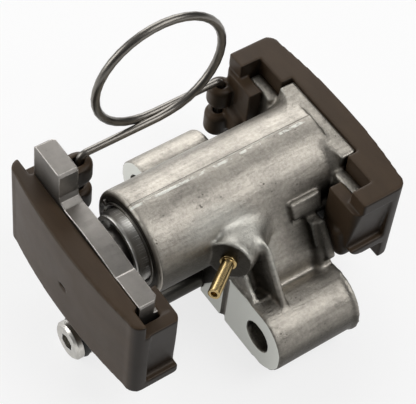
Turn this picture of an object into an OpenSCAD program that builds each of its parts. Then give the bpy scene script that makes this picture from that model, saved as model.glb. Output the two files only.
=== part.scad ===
// Hydraulic timing chain tensioner with two shoes and its transport clip.
// X runs along the plunger from the moving shoe to the fixed shoe, Z is up across the chain.
// The origin is on the mounting face, midway between the two bolt holes.

/* [Mounting] */
// Distance between the two bolt holes
bolt_spacing = 41.4; // [38:0.2:46]
// Diameter of a bolt hole
bolt_hole_d = 6.6; // [5:0.1:8]
// Outer radius of the near lug
near_lug_r = 7.4; // [6.5:0.1:8.5]
// Outer radius of the far lug
far_lug_r = 6.5; // [5.5:0.1:7.5]
// Length of the near lug along the plunger
lug_len = 19.3; // [17:0.1:21]
// Length of the far lug along the plunger
far_lug_len = 16.6; // [15:0.1:17]
// Depth of the relief between the machined pads
pad_relief = 0.6; // [0.3:0.1:1]
// Thickness of the plate behind the near pad
plate_t = 1.8; // [1.4:0.1:2.4]
// How far the rim at the near lug's far end stands out
rim_up = 0.4; // [0.2:0.1:0.8]

/* [Barrel] */
// Sideways offset of the plunger axis from the middle of the bolt holes
axis_y = 2.2; // [1:0.1:3.5]
// Height of the plunger axis above the bolt holes
axis_z = 15.1; // [14:0.1:17]
// Outer diameter of the barrel
barrel_d = 21.8; // [20.5:0.1:23]
// How far the barrel reaches ahead of the mounting face
mouth_x = 15.5; // [14:0.1:17]
// Diameter of the plunger bore
bore_d = 15; // [14:0.1:16]
// Place of the bore's end behind the mounting face
bore_end_x = 20; // [19:0.1:21]
// Width of the chamfer around the mouth
mouth_chamfer = 0.6; // [0.3:0.1:1]

/* [Flange] */
// Place of the flange's near face
flange_x = 26.2; // [25:0.1:27]
// Thickness of the flange
flange_t = 3.4; // [3:0.1:4]
// Width of the flange's high middle
flange_w = 20.6; // [18:0.1:22]
// Height of the flange's middle above the plunger axis
flange_up = 9.8; // [9:0.1:10.2]
// Thickness of the tongues that carry the fixed shoe
tongue_t = 5.2; // [4.6:0.1:5.6]
// Height of the tongues above the plunger axis
tongue_up = 5; // [4:0.1:6]
// Radius of the fillet between the barrel and the flange
flange_fillet = 2.6; // [1.5:0.1:3]

/* [Shoes] */
// Length of a shoe along the chain
shoe_len = 44.4; // [42:0.2:48]
// Height of a shoe across the chain
shoe_h = 21.9; // [20.5:0.1:23]
// How far the moving shoe's middle lies below the plunger axis
moving_drop = 1.7; // [1.2:0.1:2.2]
// How far the fixed shoe's middle lies below the plunger axis
fixed_drop = 0.5; // [0.2:0.1:1]
// Thickness of a slider at its ends
slider_t = 3.3; // [2.8:0.1:4]
// Rise of the slider's curve in the middle
slider_bulge = 1.4; // [0.8:0.1:2]
// Thickness of the moving shoe's end walls
moving_wall_t = 3; // [2.4:0.1:3.6]
// Thickness of the fixed shoe's end walls
fixed_wall_t = 4.2; // [3.8:0.1:4.8]
// Thickness of the fixed shoe's ledges beside the flange
ledge_t = 2.5; // [2:0.1:2.8]
// Thickness of the hooks behind the plates
hook_t = 3; // [2.4:0.1:3.4]
// Half distance between the hooks' free ends
hook_y = 13; // [12:0.1:14]
// How far the end walls lean in toward their feet
end_draft = 1.5; // [0.5:0.1:2]
// Thickness of the lip below the pockets
lip_t = 2.3; // [1.8:0.1:3]

/* [Carrier] */
// Thickness of the steel carrier plate
carrier_t = 4.1; // [3.6:0.1:4.6]
// Place of the carrier's back face ahead of the mounting face
carrier_x = 21.3; // [20.8:0.1:22]
// Height of the raised tab above the plunger axis
tab_up = 17.4; // [14:0.1:19]
// Width of the raised tab
tab_w = 8.8; // [7:0.1:9.4]
// How far the carrier's crown stands above the shoe
crown_up = 0.7; // [0.4:0.1:1.2]
// Diameter of the carrier's stem
stem_d = 8.8; // [7:0.1:9.4]

/* [Plunger] */
// Gap all round between the plunger and the bore
running_gap = 0.03; // [0.01:0.01:0.08]
// Distance of the plunger's front end from the carrier
plunger_neck = 2; // [1.8:0.1:2.6]
// Length of the plunger
plunger_len = 27; // [25:0.1:28.5]
// Wall of the plunger around the spring
plunger_wall = 1.9; // [1.5:0.1:2.2]
// Wire diameter of the plunger spring
spring_wire = 1.1; // [0.8:0.1:1.2]
// Number of turns of the plunger spring
spring_turns = 9; // [7:1:12]

/* [Check valve] */
// Diameter of the check ball
ball_d = 4.8; // [4:0.1:5.2]
// Diameter of the seat's hole
seat_hole_d = 3.2; // [2.4:0.1:3.6]
// Thickness of the seat disc
seat_t = 2.4; // [2:0.1:3]
// Gap between the ball and its seat
ball_gap = 0.05; // [0.02:0.01:0.08]

/* [Oil feed] */
// Diameter of the feed pipe
pipe_d = 5.6; // [5:0.1:6]
// Diameter of the inlet face
inlet_d = 8.2; // [7.4:0.1:9]
// How far the inlet reaches ahead of the mounting face
inlet_x = 30.3; // [28:0.1:31]
// How far the feed pipe lies below the plunger axis
inlet_drop = 19.5; // [19:0.1:20.5]
// Diameter of the brass jet
jet_d = 2; // [1.6:0.1:2.4]
// Length of the jet outside its boss
jet_out = 8.7; // [6:0.1:10]

/* [Transport clip] */
// Diameter of the clip's wire
wire_d = 1.5; // [1.2:0.1:1.8]
// Half width of the pull ring to the middle of the wire
ring_rx = 14.2; // [12:0.1:15]
// Half height of the pull ring to the middle of the wire
ring_rz = 13.3; // [11:0.1:15]
// Height of the clip's legs above the plunger axis
leg_up = 5.4; // [5:0.1:6]
// Length of a pin below the legs
pin_len = 13.6; // [11:0.1:14]
// Gap all round between a pin and its hole
pin_gap = 0.3; // [0.25:0.05:0.5]

/* [Hidden] */
$fn = 48;
near_y = -bolt_spacing / 2 - axis_y;
far_y = bolt_spacing / 2 - axis_y;
barrel_r = barrel_d / 2;
bore_r = bore_d / 2;
mouth_flare = 0.6;
ring_seat_x = -mouth_x + 1.6;
ring_groove = 1.1;
bore_ring_r = 0.4;
flange_end = flange_x + flange_t;
moving_top = shoe_h / 2 - moving_drop;
moving_bottom = moving_top - shoe_h;
fixed_top = shoe_h / 2 - fixed_drop;
fixed_bottom = fixed_top - shoe_h;
shoe_half = shoe_len / 2;
pocket_y = shoe_half - moving_wall_t;
tongue_end = shoe_half - fixed_wall_t - 0.4;
slider_r = (pow(pocket_y, 2) + pow(slider_bulge, 2)) / (2 * slider_bulge);
corner_r = 2.4;
ear_bottom = moving_bottom + lip_t;
ear_end = pocket_y - 0.9;
moving_wall_up = 5.2;
moving_hook_up = 5;
fixed_hook_up = 7;
fixed_wall_down = -6.3;
wall_back = 1.1;
wall_step = 0.3;
moving_foot_r = 0.8;
fixed_foot_r = 3.5;
tongue_down = fixed_wall_down + lip_t;
tongue_round = 1.2;
back_step = 0.9;
gate_y = 2.2;
gate_z = 0.8;
carrier_front = carrier_x + carrier_t;
plunger_r = bore_r - running_gap;
plunger_front = carrier_x - plunger_neck;
plunger_rear = plunger_len - plunger_front;
crown_t = 8;
spring_seat_x = crown_t - plunger_front;
spring_r = plunger_r - plunger_wall - spring_wire / 2 - 0.25;
stem_depth = 5;
stem_r = stem_d / 2;
stem_ring_x = -plunger_front + 3.6;
stem_ring_r = 0.35;
cage_t = 0.6;
cage_r = 3.5;
cage_len = 7;
seat_x = bore_end_x - seat_t;
ball_r = ball_d / 2;
ball_x = seat_x - sqrt(pow(ball_r, 2) - pow(seat_hole_d / 2, 2)) - ball_gap;
cage_end_x = seat_x - cage_len;
valve_wire = 0.4;
valve_spring_r = 1.5;
feed_hole_r = 1.5;
chamber_r = 3;
chamber_len = 3;
feed_x = bore_end_x + chamber_len / 2;
gallery_r = 3.9;
plate_end = 4.4;
inlet_y = -axis_y;
pipe_end_x = 8;
collar_t = 1.6;
seal_r = 0.8;
neck_r = inlet_d / 2 - 1.4;
nipple_len = 5.6;
inlet_hole_r = 1.4;
jet_axis = [-0.804, -0.581, 0.126];
jet_face = [-1.84, -barrel_r - 2.8, 0.8];
jet_boss_r = 4.5;
jet_base_r = 5.8;
jet_drill = 11.4;
plug_t = 1.4;
clip_y = 19.9;
coil_step = wire_d + 0.1;
pin_a = [-14.5, clip_y - coil_step / 2];
pin_b = [20, clip_y + coil_step / 2];
ring_x = 3.7;
bend_r = 1.6;
eye_r = 2.7;
eye_round = 1.2;
pin_hole_r = wire_d / 2 + pin_gap;
upper_lug = [-1.2, 4.1];
lower_lug = [-9.8, -3.8];
slot_len = 3;
pin_drill = pin_len + 2.4;
arm_w = 5.2;

PLASTIC = [0.33, 0.29, 0.26];
CAST = [0.72, 0.7, 0.67];
STEEL = [0.6, 0.59, 0.57];
BRIGHT = [0.78, 0.78, 0.78];
BRASS = [0.85, 0.68, 0.3];

// Puts children on the plunger axis
module on_axis() {
  translate([0, axis_y, axis_z])
    children();
}

// A cylinder along X from a to b
module rod(a, b, r) {
  translate([a, 0, 0])
    rotate([0, 90, 0])
      cylinder(h = b - a, r = r);
}

// A cone along X from a to b
module taper(a, b, r1, r2) {
  translate([a, 0, 0])
    rotate([0, 90, 0])
      cylinder(h = b - a, r1 = r1, r2 = r2);
}

// A tube along X from a to b
module sleeve(a, b, r_out, r_in) {
  difference() {
    rod(a, b, r_out);
    rod(a - 1, b + 1, r_in);
  }
}

// A round wire ring about the X axis
module hoop(x, r, wire_r) {
  translate([x, 0, 0])
    rotate([0, 90, 0])
      rotate_extrude()
        translate([r, 0])
          circle(wire_r, $fn = 24);
}

// A slab from a to b along X whose section is drawn as [y, z] points
module slab(a, b, points) {
  translate([a, 0, 0])
    rotate([90, 0, 90])
      linear_extrude(b - a)
        polygon(points);
}

// Points around one station of a tube, square to its direction
function station(p, d, r, n) =
  let (s = abs(d[1]) > 0.9 ? [0, 0, 1] : [0, 1, 0])
  let (u = cross(d, s) / norm(cross(d, s)))
  let (v = cross(d, u))
  [for (k = [0 : n - 1]) p + r * (cos(360 * k / n) * u + sin(360 * k / n) * v)];

// A closed tube along a list of points
module tube(path, r, n) {
  last = len(path) - 1;
  dirs = [for (i = [0 : last]) path[min(i + 1, last)] - path[max(i - 1, 0)]];
  points = [for (i = [0 : last]) each station(path[i], dirs[i] / norm(dirs[i]), r, n)];
  sides = [for (i = [0 : last - 1], k = [0 : n - 1])
    [i * n + k, i * n + (k + 1) % n, (i + 1) * n + (k + 1) % n, (i + 1) * n + k]];
  first_cap = [for (k = [n - 1 : -1 : 0]) k];
  last_cap = [for (k = [0 : n - 1]) last * n + k];
  polyhedron(points, concat([first_cap], sides, [last_cap]));
}

// A coil about the X axis from a to b
module coil(a, b, r, wire_r, turns, steps) {
  count = turns * steps;
  tube([for (i = [0 : count])
    [a + (b - a) * i / count, r * cos(360 * i / steps), r * sin(360 * i / steps)]], wire_r, 6);
}

// Housing

// One bolt lug, from the mounting face to its far end
module lug(y, r, reach) {
  translate([0, y, -axis_z])
    rod(0, reach, r);
}

// The wall that ties the lugs to the barrel, with a shelf below the barrel's near side; reach is its far end
module bridge(a, b, reach) {
  slab(a, b, [
    [-barrel_r, 0], [-barrel_r - 1.9, 0], [near_y + near_lug_r * 0.74, -axis_z + near_lug_r * 1.2],
    [near_y + near_lug_r * 0.34, -axis_z + near_lug_r * 0.94], [near_y, -axis_z],
    [near_y, -axis_z - near_lug_r], [reach, -axis_z - far_lug_r], [reach, -axis_z],
    [far_y - far_lug_r * 0.77, -axis_z + far_lug_r * 0.64], [barrel_r * 0.9, -2], [0, 0]]);
}

// The plate behind the near machined pad
module pad_plate() {
  slab(0, plate_t, [
    [near_y, -axis_z - near_lug_r], [-plate_end, -axis_z - near_lug_r], [-plate_end, -barrel_r + 1],
    [-barrel_r * 0.8, -barrel_r * 0.55], [-barrel_r - 2.2, -axis_z + near_lug_r - 0.5],
    [near_y, -axis_z + near_lug_r]]);
}

// A gusset from the barrel to the near lug; top is the [y, z] point of its outer corner
module gusset(a, b, top, foot) {
  slab(a, b, [[-barrel_r + 2, 0], [-barrel_r - 0.5, top[1]], top, foot, [near_y, -axis_z],
    [-barrel_r + 2, -axis_z + 3]]);
}

// The raised rim at the far end of the near lug
module lug_rim() {
  translate([0, near_y, -axis_z])
    rod(lug_len - 0.9, lug_len, near_lug_r + rim_up);
}

// The line scribed down the near pad
module pad_groove() {
  translate([0, -barrel_r - 1.1, -axis_z - near_lug_r - 1])
    linear_extrude(2 * near_lug_r)
      polygon([[-0.1, -0.8], [-0.1, 0.8], [0.9, 0]]);
}

// Turns children so that +Z follows the jet
module along_jet() {
  translate(jet_face)
    rotate([0, acos(jet_axis[2] / norm(jet_axis)), atan2(jet_axis[1], jet_axis[0])])
      children();
}

// The bar whose ends are the tongues, rounded along its near top edge
module tongues() {
  translate([flange_end - tongue_t, tongue_end, 0])
    rotate([90, 0, 0])
      linear_extrude(2 * tongue_end) {
        translate([0, tongue_down])
          square([tongue_t - ledge_t, tongue_up - tongue_round - tongue_down]);
        translate([tongue_round, tongue_down])
          square([tongue_t - ledge_t - tongue_round, tongue_up - tongue_down]);
        translate([tongue_round, tongue_up - tongue_round])
          circle(tongue_round);
      }
}

// The flange with its tongues and the fillet that leads the barrel into it
module flange() {
  translate([flange_x, -flange_w / 2, fixed_bottom + 1])
    cube([flange_t, flange_w, flange_up - fixed_bottom - 1]);
  tongues();
  intersection() {
    translate([flange_x - flange_fillet, 0, 0])
      rotate([0, 90, 0])
        rotate_extrude()
          difference() {
            translate([barrel_r - 1, 0])
              square([flange_fillet + 1, flange_fillet + 0.1]);
            translate([barrel_r + flange_fillet, 0])
              circle(flange_fillet);
          }
    translate([flange_x - flange_fillet, -flange_w / 2, fixed_bottom + 1])
      cube([flange_fillet + 1, flange_w, flange_up - fixed_bottom - 1]);
  }
}

module barrel_form() {
  rod(-mouth_x + mouth_chamfer, flange_x + 0.5, barrel_r);
  taper(-mouth_x, -mouth_x + mouth_chamfer, barrel_r - mouth_chamfer / 2, barrel_r);
}

// Puts children on the feed pipe's axis
module on_feed() {
  translate([0, inlet_y, -inlet_drop])
    children();
}

module feed_boss() {
  on_feed() {
    rod(pad_relief, feed_x + 3, gallery_r);
    translate([feed_x - 3.4, -gallery_r, 0])
      cube([flange_x - feed_x + 3.4, 2 * gallery_r, inlet_drop]);
  }
}

// The drillings that carry oil from the pipe to the valve
module oil_ways() {
  on_feed() {
    rod(-1, pipe_end_x, pipe_d / 2);
    rod(0, feed_x + 4, feed_hole_r);
    translate([feed_x, 0, -gallery_r - 1])
      cylinder(h = inlet_drop + gallery_r + 1, r = feed_hole_r);
  }
}

module housing() {
  color(CAST)
    on_axis()
      difference() {
        union() {
          barrel_form();
          flange();
          lug(near_y, near_lug_r, lug_len);
          lug(far_y, far_lug_r, far_lug_len);
          bridge(pad_relief, far_lug_len, far_y);
          bridge(far_lug_len - 1, lug_len, far_y - far_lug_r);
          pad_plate();
          lug_rim();
          gusset(4.5, 5.9, [-barrel_r - 4.7, 3.9], [near_y - 1.5, -axis_z + near_lug_r - 0.7]);
          gusset(lug_len - 2.8, lug_len, [-barrel_r - 4.2, 0.7], [near_y + 2.7, -axis_z + near_lug_r - 0.5]);
          feed_boss();
          along_jet()
            translate([0, 0, -jet_drill])
              cylinder(h = jet_drill, r1 = jet_base_r, r2 = jet_boss_r);
          translate([15, -barrel_r - 0.6, -1.9])
            cube([6.4, 6, 5.3]);
          translate([lug_len - 1, -hook_y + 0.4, -8])
            cube([flange_x - lug_len + 1.5, 6, 8]);
        }
        rod(-mouth_x - 1, bore_end_x, bore_r);
        taper(-mouth_x - 0.01, -mouth_x + mouth_flare, bore_r + mouth_flare, bore_r);
        rod(bore_end_x - 1, bore_end_x + chamber_len, chamber_r);
        rod(ring_seat_x - bore_ring_r, ring_seat_x + bore_ring_r, bore_r + ring_groove);
        pad_groove();
        for (y = [near_y, far_y])
          translate([0, y, -axis_z])
            rod(-1, lug_len + 1, bolt_hole_d / 2);
        oil_ways();
        along_jet() {
          translate([0, 0, -5])
            cylinder(h = 6, r = jet_d / 2);
          translate([0, 0, -jet_drill])
            cylinder(h = jet_drill, r = 0.5);
        }
      }
}

// Plunger and its fill

module plunger() {
  color(BRIGHT)
    on_axis()
      difference() {
        union() {
          rod(-plunger_front + 0.5, plunger_rear, plunger_r);
          taper(-plunger_front, -plunger_front + 0.5, plunger_r - 0.5, plunger_r);
        }
        rod(spring_seat_x, plunger_rear + 1, plunger_r - plunger_wall);
        rod(-plunger_front - 1, -plunger_front + stem_depth, stem_r);
        rod(-plunger_front - 1, -plunger_front + 1, plunger_r - 1.5);
        hoop(stem_ring_x, stem_r, stem_ring_r);
        sleeve(-plunger_front + 1.2, -plunger_front + 2, plunger_r + 1, plunger_r - 0.4);
      }
}

module plunger_spring() {
  color(STEEL)
    on_axis()
      coil(spring_seat_x + spring_wire / 2, seat_x - cage_t - spring_wire / 2, spring_r,
        spring_wire / 2, spring_turns, 16);
}

module volume_insert() {
  color(PLASTIC)
    on_axis()
      rod(spring_seat_x, cage_end_x - 4, spring_r - spring_wire / 2 - 0.5);
}

module stem_ring() {
  color(STEEL)
    on_axis()
      hoop(stem_ring_x, stem_r, stem_ring_r);
}

// Check valve

module valve_seat() {
  color(BRIGHT)
    on_axis()
      sleeve(seat_x, bore_end_x, bore_r, seat_hole_d / 2);
}

module valve_ball() {
  color(BRIGHT)
    on_axis()
      translate([ball_x, 0, 0])
        sphere(ball_r);
}

module valve_cage() {
  color(STEEL)
    on_axis()
      difference() {
        union() {
          rod(seat_x - cage_t, seat_x, plunger_r - plunger_wall - 0.3);
          rod(cage_end_x, seat_x, cage_r);
        }
        rod(cage_end_x + cage_t, seat_x + 1, cage_r - cage_t);
        for (turn = [0, 60, 120])
          rotate([turn, 0, 0])
            translate([cage_end_x + 1.4, -cage_r - 1, -0.8])
              cube([cage_len - 3, 2 * cage_r + 2, 1.6]);
      }
}

module valve_spring() {
  rest_x = ball_x - sqrt(pow(ball_r, 2) - pow(valve_spring_r, 2));
  color(STEEL)
    on_axis()
      coil(cage_end_x + cage_t + valve_wire / 2, rest_x - valve_wire / 2, valve_spring_r,
        valve_wire / 2, 4, 14);
}

module bore_ring() {
  color(STEEL)
    on_axis()
      hoop(ring_seat_x, bore_r + ring_groove - bore_ring_r, bore_ring_r);
}

// Carrier and shoes

// Outline of the carrier's plate seen along the plunger: raised tab, crowned middle and low ear
module carrier_outline() {
  tab_out = ear_end - 0.6;
  tab_in = tab_out - tab_w;
  ear_in = -ear_end + 8;
  crown = [for (i = [0 : 8]) let (y = tab_in - 1.9 + (ear_in - tab_in + 1.9) * i / 8)
    [y, moving_top + crown_up - pow(y, 2) / 133]];
  polygon(concat(
    [[-ear_end, ear_bottom], [ear_end, ear_bottom], [ear_end, moving_top - 1.5], [tab_out, moving_top - 0.9],
      [tab_out, tab_up - 0.5], [tab_out - 0.5, tab_up], [tab_in + 0.5, tab_up], [tab_in, tab_up - 0.5],
      [tab_in, moving_top + 2], [tab_in - 0.5, moving_top + 0.9]],
    crown,
    [[ear_in - 0.2, moving_top + 0.2], [-ear_end + 0.3, moving_top + 0.2], [-ear_end, moving_top - 0.1]]));
}

module shoe_carrier() {
  color(STEEL)
    on_axis()
      difference() {
        union() {
          translate([-carrier_front, 0, 0])
            rotate([90, 0, 90])
              linear_extrude(carrier_t)
                carrier_outline();
          rod(-carrier_x - 0.5, -plunger_front + stem_depth, stem_r);
          rod(-carrier_x - 0.5, -plunger_front - 0.3, stem_r + 1);
        }
        hoop(stem_ring_x, stem_r, stem_ring_r);
        for (corner = [[ear_end - 0.6, moving_top], [-ear_end, moving_hook_up + 0.6]])
          translate([-carrier_x, corner[0], corner[1]])
            rotate([0, 0, 45])
              translate([-0.7, -0.7, 0])
                cube([1.4, 1.4, tab_up]);
      }
}

// The slider's section, with its back on the Y axis and its face toward +X
module slider_outline() {
  straight = shoe_half - corner_r;
  intersection() {
    union() {
      translate([0, -straight])
        square([slider_t, 2 * straight]);
      translate([0, -shoe_half])
        square([slider_t - corner_r, shoe_len]);
      for (side = [-1, 1])
        translate([slider_t - corner_r, side * straight])
          circle(corner_r);
      intersection() {
        translate([slider_t + slider_bulge - slider_r, 0])
          circle(slider_r, $fn = 180);
        translate([0, -straight])
          square([slider_t + slider_bulge, 2 * straight]);
      }
    }
    translate([0, -shoe_half])
      square([slider_t + slider_bulge, shoe_len]);
  }
}

// Section of one end wall with its hook, at the +Y end; pocket is the plate's thickness
module end_outline(pocket, wall_t) {
  back = pocket + hook_t;
  inner = shoe_half - wall_t;
  difference() {
    union() {
      translate([-back + corner_r, hook_y])
        square([back - corner_r, shoe_half - hook_y]);
      translate([-back, hook_y])
        square([corner_r, shoe_half - corner_r - hook_y]);
      translate([-back + corner_r, shoe_half - corner_r])
        circle(corner_r);
    }
    translate([-pocket, hook_y - 1])
      square([pocket, inner - hook_y + 1]);
  }
}

// A round eye for a clip pin
module eye(x, y, span) {
  tall = span[1] - span[0];
  translate([x, y, span[0]])
    rotate_extrude()
      intersection() {
        union() {
          square([eye_r - eye_round, tall]);
          translate([0, eye_round])
            square([eye_r, tall - 2 * eye_round]);
          for (z = [eye_round, tall - eye_round])
            translate([eye_r - eye_round, z])
              circle(eye_round);
        }
        square([eye_r, tall]);
      }
}

// One end wall at the +Y end with its hook and lip; its lower part stands back and leans in toward its foot
module end_wall(pocket, wall_t, wall_up, hook_up, wall_down, foot_r) {
  back = pocket + hook_t;
  foot = wall_down + lip_t;
  tall = wall_up - wall_down;
  intersection() {
    union() {
      intersection() {
        union() {
          translate([0, 0, foot])
            linear_extrude(hook_up - foot)
              end_outline(pocket, wall_t);
          translate([-back + wall_back, shoe_half - wall_t, foot])
            cube([back - wall_back, wall_t, wall_up - foot]);
        }
        slab(-back, 0, [
          [0, foot], [shoe_half - end_draft, foot], [shoe_half - wall_step, hook_up + 0.4],
          [shoe_half, hook_up + 0.4], [shoe_half, wall_up + 1], [0, wall_up + 1]]);
      }
      translate([-back, hook_y, wall_down])
        cube([back, shoe_half - hook_y, lip_t]);
    }
    translate([-back, shoe_half, wall_down])
      rotate([90, 0, 0])
        linear_extrude(shoe_half) {
          translate([foot_r, 0])
            square([back - foot_r, tall]);
          translate([0, foot_r])
            square([foot_r, tall - foot_r]);
          translate([foot_r, foot_r])
            circle(foot_r);
        }
  }
}

// A shoe with its slider toward +X; all heights are above the axis
module shoe(top, pocket, wall_t, wall_up, hook_up, wall_down, foot_r) {
  difference() {
    translate([0, 0, top - shoe_h])
      linear_extrude(shoe_h)
        slider_outline();
    for (flip = [0, 1])
      mirror([0, flip, 0])
        translate([-1, ear_end - 0.6, wall_up])
          cube([back_step + 1, shoe_half - ear_end + 2, shoe_h]);
  }
  for (flip = [0, 1])
    mirror([0, flip, 0])
      end_wall(pocket, wall_t, wall_up, hook_up, wall_down, foot_r);
}

module moving_shoe() {
  eye_x = pin_a[0];
  arm_x = -carrier_x + hook_t - 0.5;
  color(PLASTIC)
    on_axis()
      difference() {
        union() {
          translate([-carrier_front, 0, 0])
            mirror([1, 0, 0])
              shoe(moving_top, carrier_t, moving_wall_t, moving_wall_up, moving_hook_up, moving_bottom,
                moving_foot_r);
          for (span = [upper_lug, lower_lug]) {
            eye(eye_x, pin_a[1], span);
            translate([arm_x, pin_a[1] - arm_w / 2, span[0] + 0.3])
              cube([eye_x - arm_x, arm_w, span[1] - span[0] - 0.6]);
          }
        }
        translate([-carrier_front - slider_t - slider_bulge - 1, -gate_y / 2, -3.6])
          cube([1.8, gate_y, gate_z]);
        translate([eye_x, pin_a[1], lower_lug[0] - 1])
          cylinder(h = pin_drill, r = pin_hole_r);
        translate([eye_x - slot_len, pin_a[1] - pin_hole_r, lower_lug[0] - 1])
          cube([slot_len, 2 * pin_hole_r, pin_drill]);
        translate([eye_x - slot_len, pin_a[1], lower_lug[0] - 1])
          cylinder(h = pin_drill, r = pin_hole_r);
      }
}

module fixed_shoe() {
  arm_x = flange_end - tongue_t - hook_t + 0.5;
  ledge_y = flange_w / 2 + 0.3;
  color(PLASTIC)
    on_axis()
      difference() {
        union() {
          translate([flange_end, 0, 0])
            shoe(fixed_top, tongue_t, fixed_wall_t, fixed_top, fixed_hook_up, fixed_wall_down, fixed_foot_r);
          for (flip = [0, 1])
            mirror([0, flip, 0])
              translate([flange_end - ledge_t, ledge_y, fixed_wall_down])
                cube([ledge_t + 0.5, tongue_end + 1 - ledge_y, fixed_top - fixed_wall_down]);
          for (span = [upper_lug, lower_lug]) {
            eye(pin_b[0], pin_b[1], span);
            translate([pin_b[0], pin_b[1] - arm_w / 2, span[0] + 0.3])
              cube([arm_x - pin_b[0], shoe_half - 0.7 - pin_b[1] + arm_w / 2, span[1] - span[0] - 0.6]);
          }
        }
        translate([pin_b[0], pin_b[1], lower_lug[0] - 1])
          cylinder(h = pin_drill, r = pin_hole_r);
      }
}

// Transport clip

// Points of a quarter bend from a pin up into a leg; side is +1 where the leg goes toward +X
function bend(pin, side) = [for (a = [0 : 30 : 90])
  [pin[0] + side * bend_r * (1 - cos(a)), pin[1], leg_up - bend_r + bend_r * sin(a)]];

// Points once around the pull ring, stepping aside by one wire
ring_points = [for (a = [0 : 10 : 360])
  [ring_x + ring_rx * sin(a), pin_a[1] + coil_step * a / 360, leg_up + ring_rz * (1 - cos(a))]];

module transport_clip() {
  bend_b = bend(pin_b, -1);
  color(STEEL)
    on_axis()
      tube(concat(
        [[pin_a[0], pin_a[1], leg_up - pin_len]], bend(pin_a, 1), ring_points,
        [for (i = [3 : -1 : 0]) bend_b[i]], [[pin_b[0], pin_b[1], leg_up - pin_len]]), wire_d / 2, 12);
}

// Oil feed and jet

module oil_jet() {
  color(BRASS)
    on_axis()
      along_jet()
        difference() {
          translate([0, 0, -5])
            cylinder(h = 5 + jet_out, r = jet_d / 2);
          translate([0, 0, -6])
            cylinder(h = 8 + jet_out, r = 0.4);
        }
}

module feed_pipe() {
  color(BRIGHT)
    on_axis()
      on_feed()
        sleeve(-inlet_x + nipple_len, pipe_end_x, pipe_d / 2, inlet_hole_r);
}

module feed_nipple() {
  color(BRIGHT)
    on_axis()
      on_feed()
        difference() {
          union() {
            taper(-inlet_x, -inlet_x + 0.5, inlet_d / 2 - 0.5, inlet_d / 2);
            rod(-inlet_x + 0.5, -inlet_x + collar_t, inlet_d / 2);
            rod(-inlet_x + 1, -inlet_x + nipple_len, neck_r);
            rod(-inlet_x + collar_t + 2 * seal_r, -inlet_x + nipple_len, inlet_d / 2);
          }
          translate([-inlet_x - 1, 0, 0])
            rotate([0, 90, 0])
              cylinder(h = 3, r = 1.9, $fn = 6);
          rod(-inlet_x + 1.9, -inlet_x + nipple_len + 1, inlet_hole_r);
        }
}

module feed_o_ring() {
  color([0.08, 0.08, 0.08])
    on_axis()
      on_feed()
        hoop(-inlet_x + collar_t + seal_r, neck_r + seal_r, seal_r);
}

module feed_strainer() {
  color(STEEL)
    on_axis()
      on_feed()
        rod(-inlet_x + 3.4, -inlet_x + 4, inlet_hole_r);
}

module gallery_plug() {
  color(BRIGHT)
    on_axis()
      on_feed()
        translate([feed_x, 0, -gallery_r])
          cylinder(h = plug_t, r = feed_hole_r);
}

module flange_plug() {
  color(BRIGHT)
    on_axis()
      on_feed()
        rod(feed_x + 3 - plug_t, feed_x + 3, feed_hole_r);
}

housing();
plunger();
plunger_spring();
volume_insert();
valve_seat();
valve_ball();
valve_spring();
valve_cage();
bore_ring();
stem_ring();
shoe_carrier();
moving_shoe();
fixed_shoe();
transport_clip();
oil_jet();
feed_pipe();
feed_nipple();
feed_o_ring();
feed_strainer();
gallery_plug();
flange_plug();
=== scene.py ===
"""Looks of a hydraulic timing chain tensioner: die casting, shoes, shoe plate, wire clip and oil feed."""

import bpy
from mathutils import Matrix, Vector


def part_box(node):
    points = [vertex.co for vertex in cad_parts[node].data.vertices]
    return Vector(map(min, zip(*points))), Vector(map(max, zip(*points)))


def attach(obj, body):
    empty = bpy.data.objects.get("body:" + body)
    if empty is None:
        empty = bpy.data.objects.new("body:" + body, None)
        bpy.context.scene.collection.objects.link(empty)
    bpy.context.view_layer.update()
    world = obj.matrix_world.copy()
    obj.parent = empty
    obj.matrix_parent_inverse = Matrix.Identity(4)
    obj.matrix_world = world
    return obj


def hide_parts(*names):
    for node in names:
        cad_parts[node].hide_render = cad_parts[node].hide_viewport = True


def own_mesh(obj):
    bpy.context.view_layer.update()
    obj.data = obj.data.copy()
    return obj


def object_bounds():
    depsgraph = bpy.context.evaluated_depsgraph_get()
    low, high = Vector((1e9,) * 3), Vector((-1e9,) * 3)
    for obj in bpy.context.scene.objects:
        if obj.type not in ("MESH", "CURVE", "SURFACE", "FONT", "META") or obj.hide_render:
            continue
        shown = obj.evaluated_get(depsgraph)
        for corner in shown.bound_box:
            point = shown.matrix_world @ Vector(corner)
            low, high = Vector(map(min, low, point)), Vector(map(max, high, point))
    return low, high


bl_info = {
    "name": "Timing Chain Tensioner",
    "version": (1, 0, 0),
    "blender": (4, 5, 0),
    "location": "View3D > Sidebar > Tensioner",
    "description": "Finishes the packed tensioner: casting skin, shoes, wire clip, oil feed and stage",
    "category": "Object",
}

import math
from typing import NamedTuple

import bpy
from mathutils import Matrix, Vector

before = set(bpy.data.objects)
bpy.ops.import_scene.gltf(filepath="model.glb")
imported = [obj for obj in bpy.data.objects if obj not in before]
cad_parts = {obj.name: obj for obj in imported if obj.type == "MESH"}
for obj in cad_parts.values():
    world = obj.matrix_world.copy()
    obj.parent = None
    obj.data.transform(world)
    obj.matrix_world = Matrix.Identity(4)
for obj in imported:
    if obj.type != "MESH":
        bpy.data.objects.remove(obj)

# Frame: lengths in metres, the plunger along X, the mounting face at X 0

MM = 0.001
CAD_LOW, CAD_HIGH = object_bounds()
PLUNGER_LOW, PLUNGER_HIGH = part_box("plunger")
AXIS_Y = (PLUNGER_LOW.y + PLUNGER_HIGH.y) / 2
AXIS_Z = (PLUNGER_LOW.z + PLUNGER_HIGH.z) / 2
INLET_LOW, INLET_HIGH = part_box("feed_nipple")


def at(x, y, z):
    """A place given in millimetres from the plunger axis and the mounting face."""
    return Vector((x * MM, AXIS_Y + y * MM, AXIS_Z + z * MM))


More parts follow.
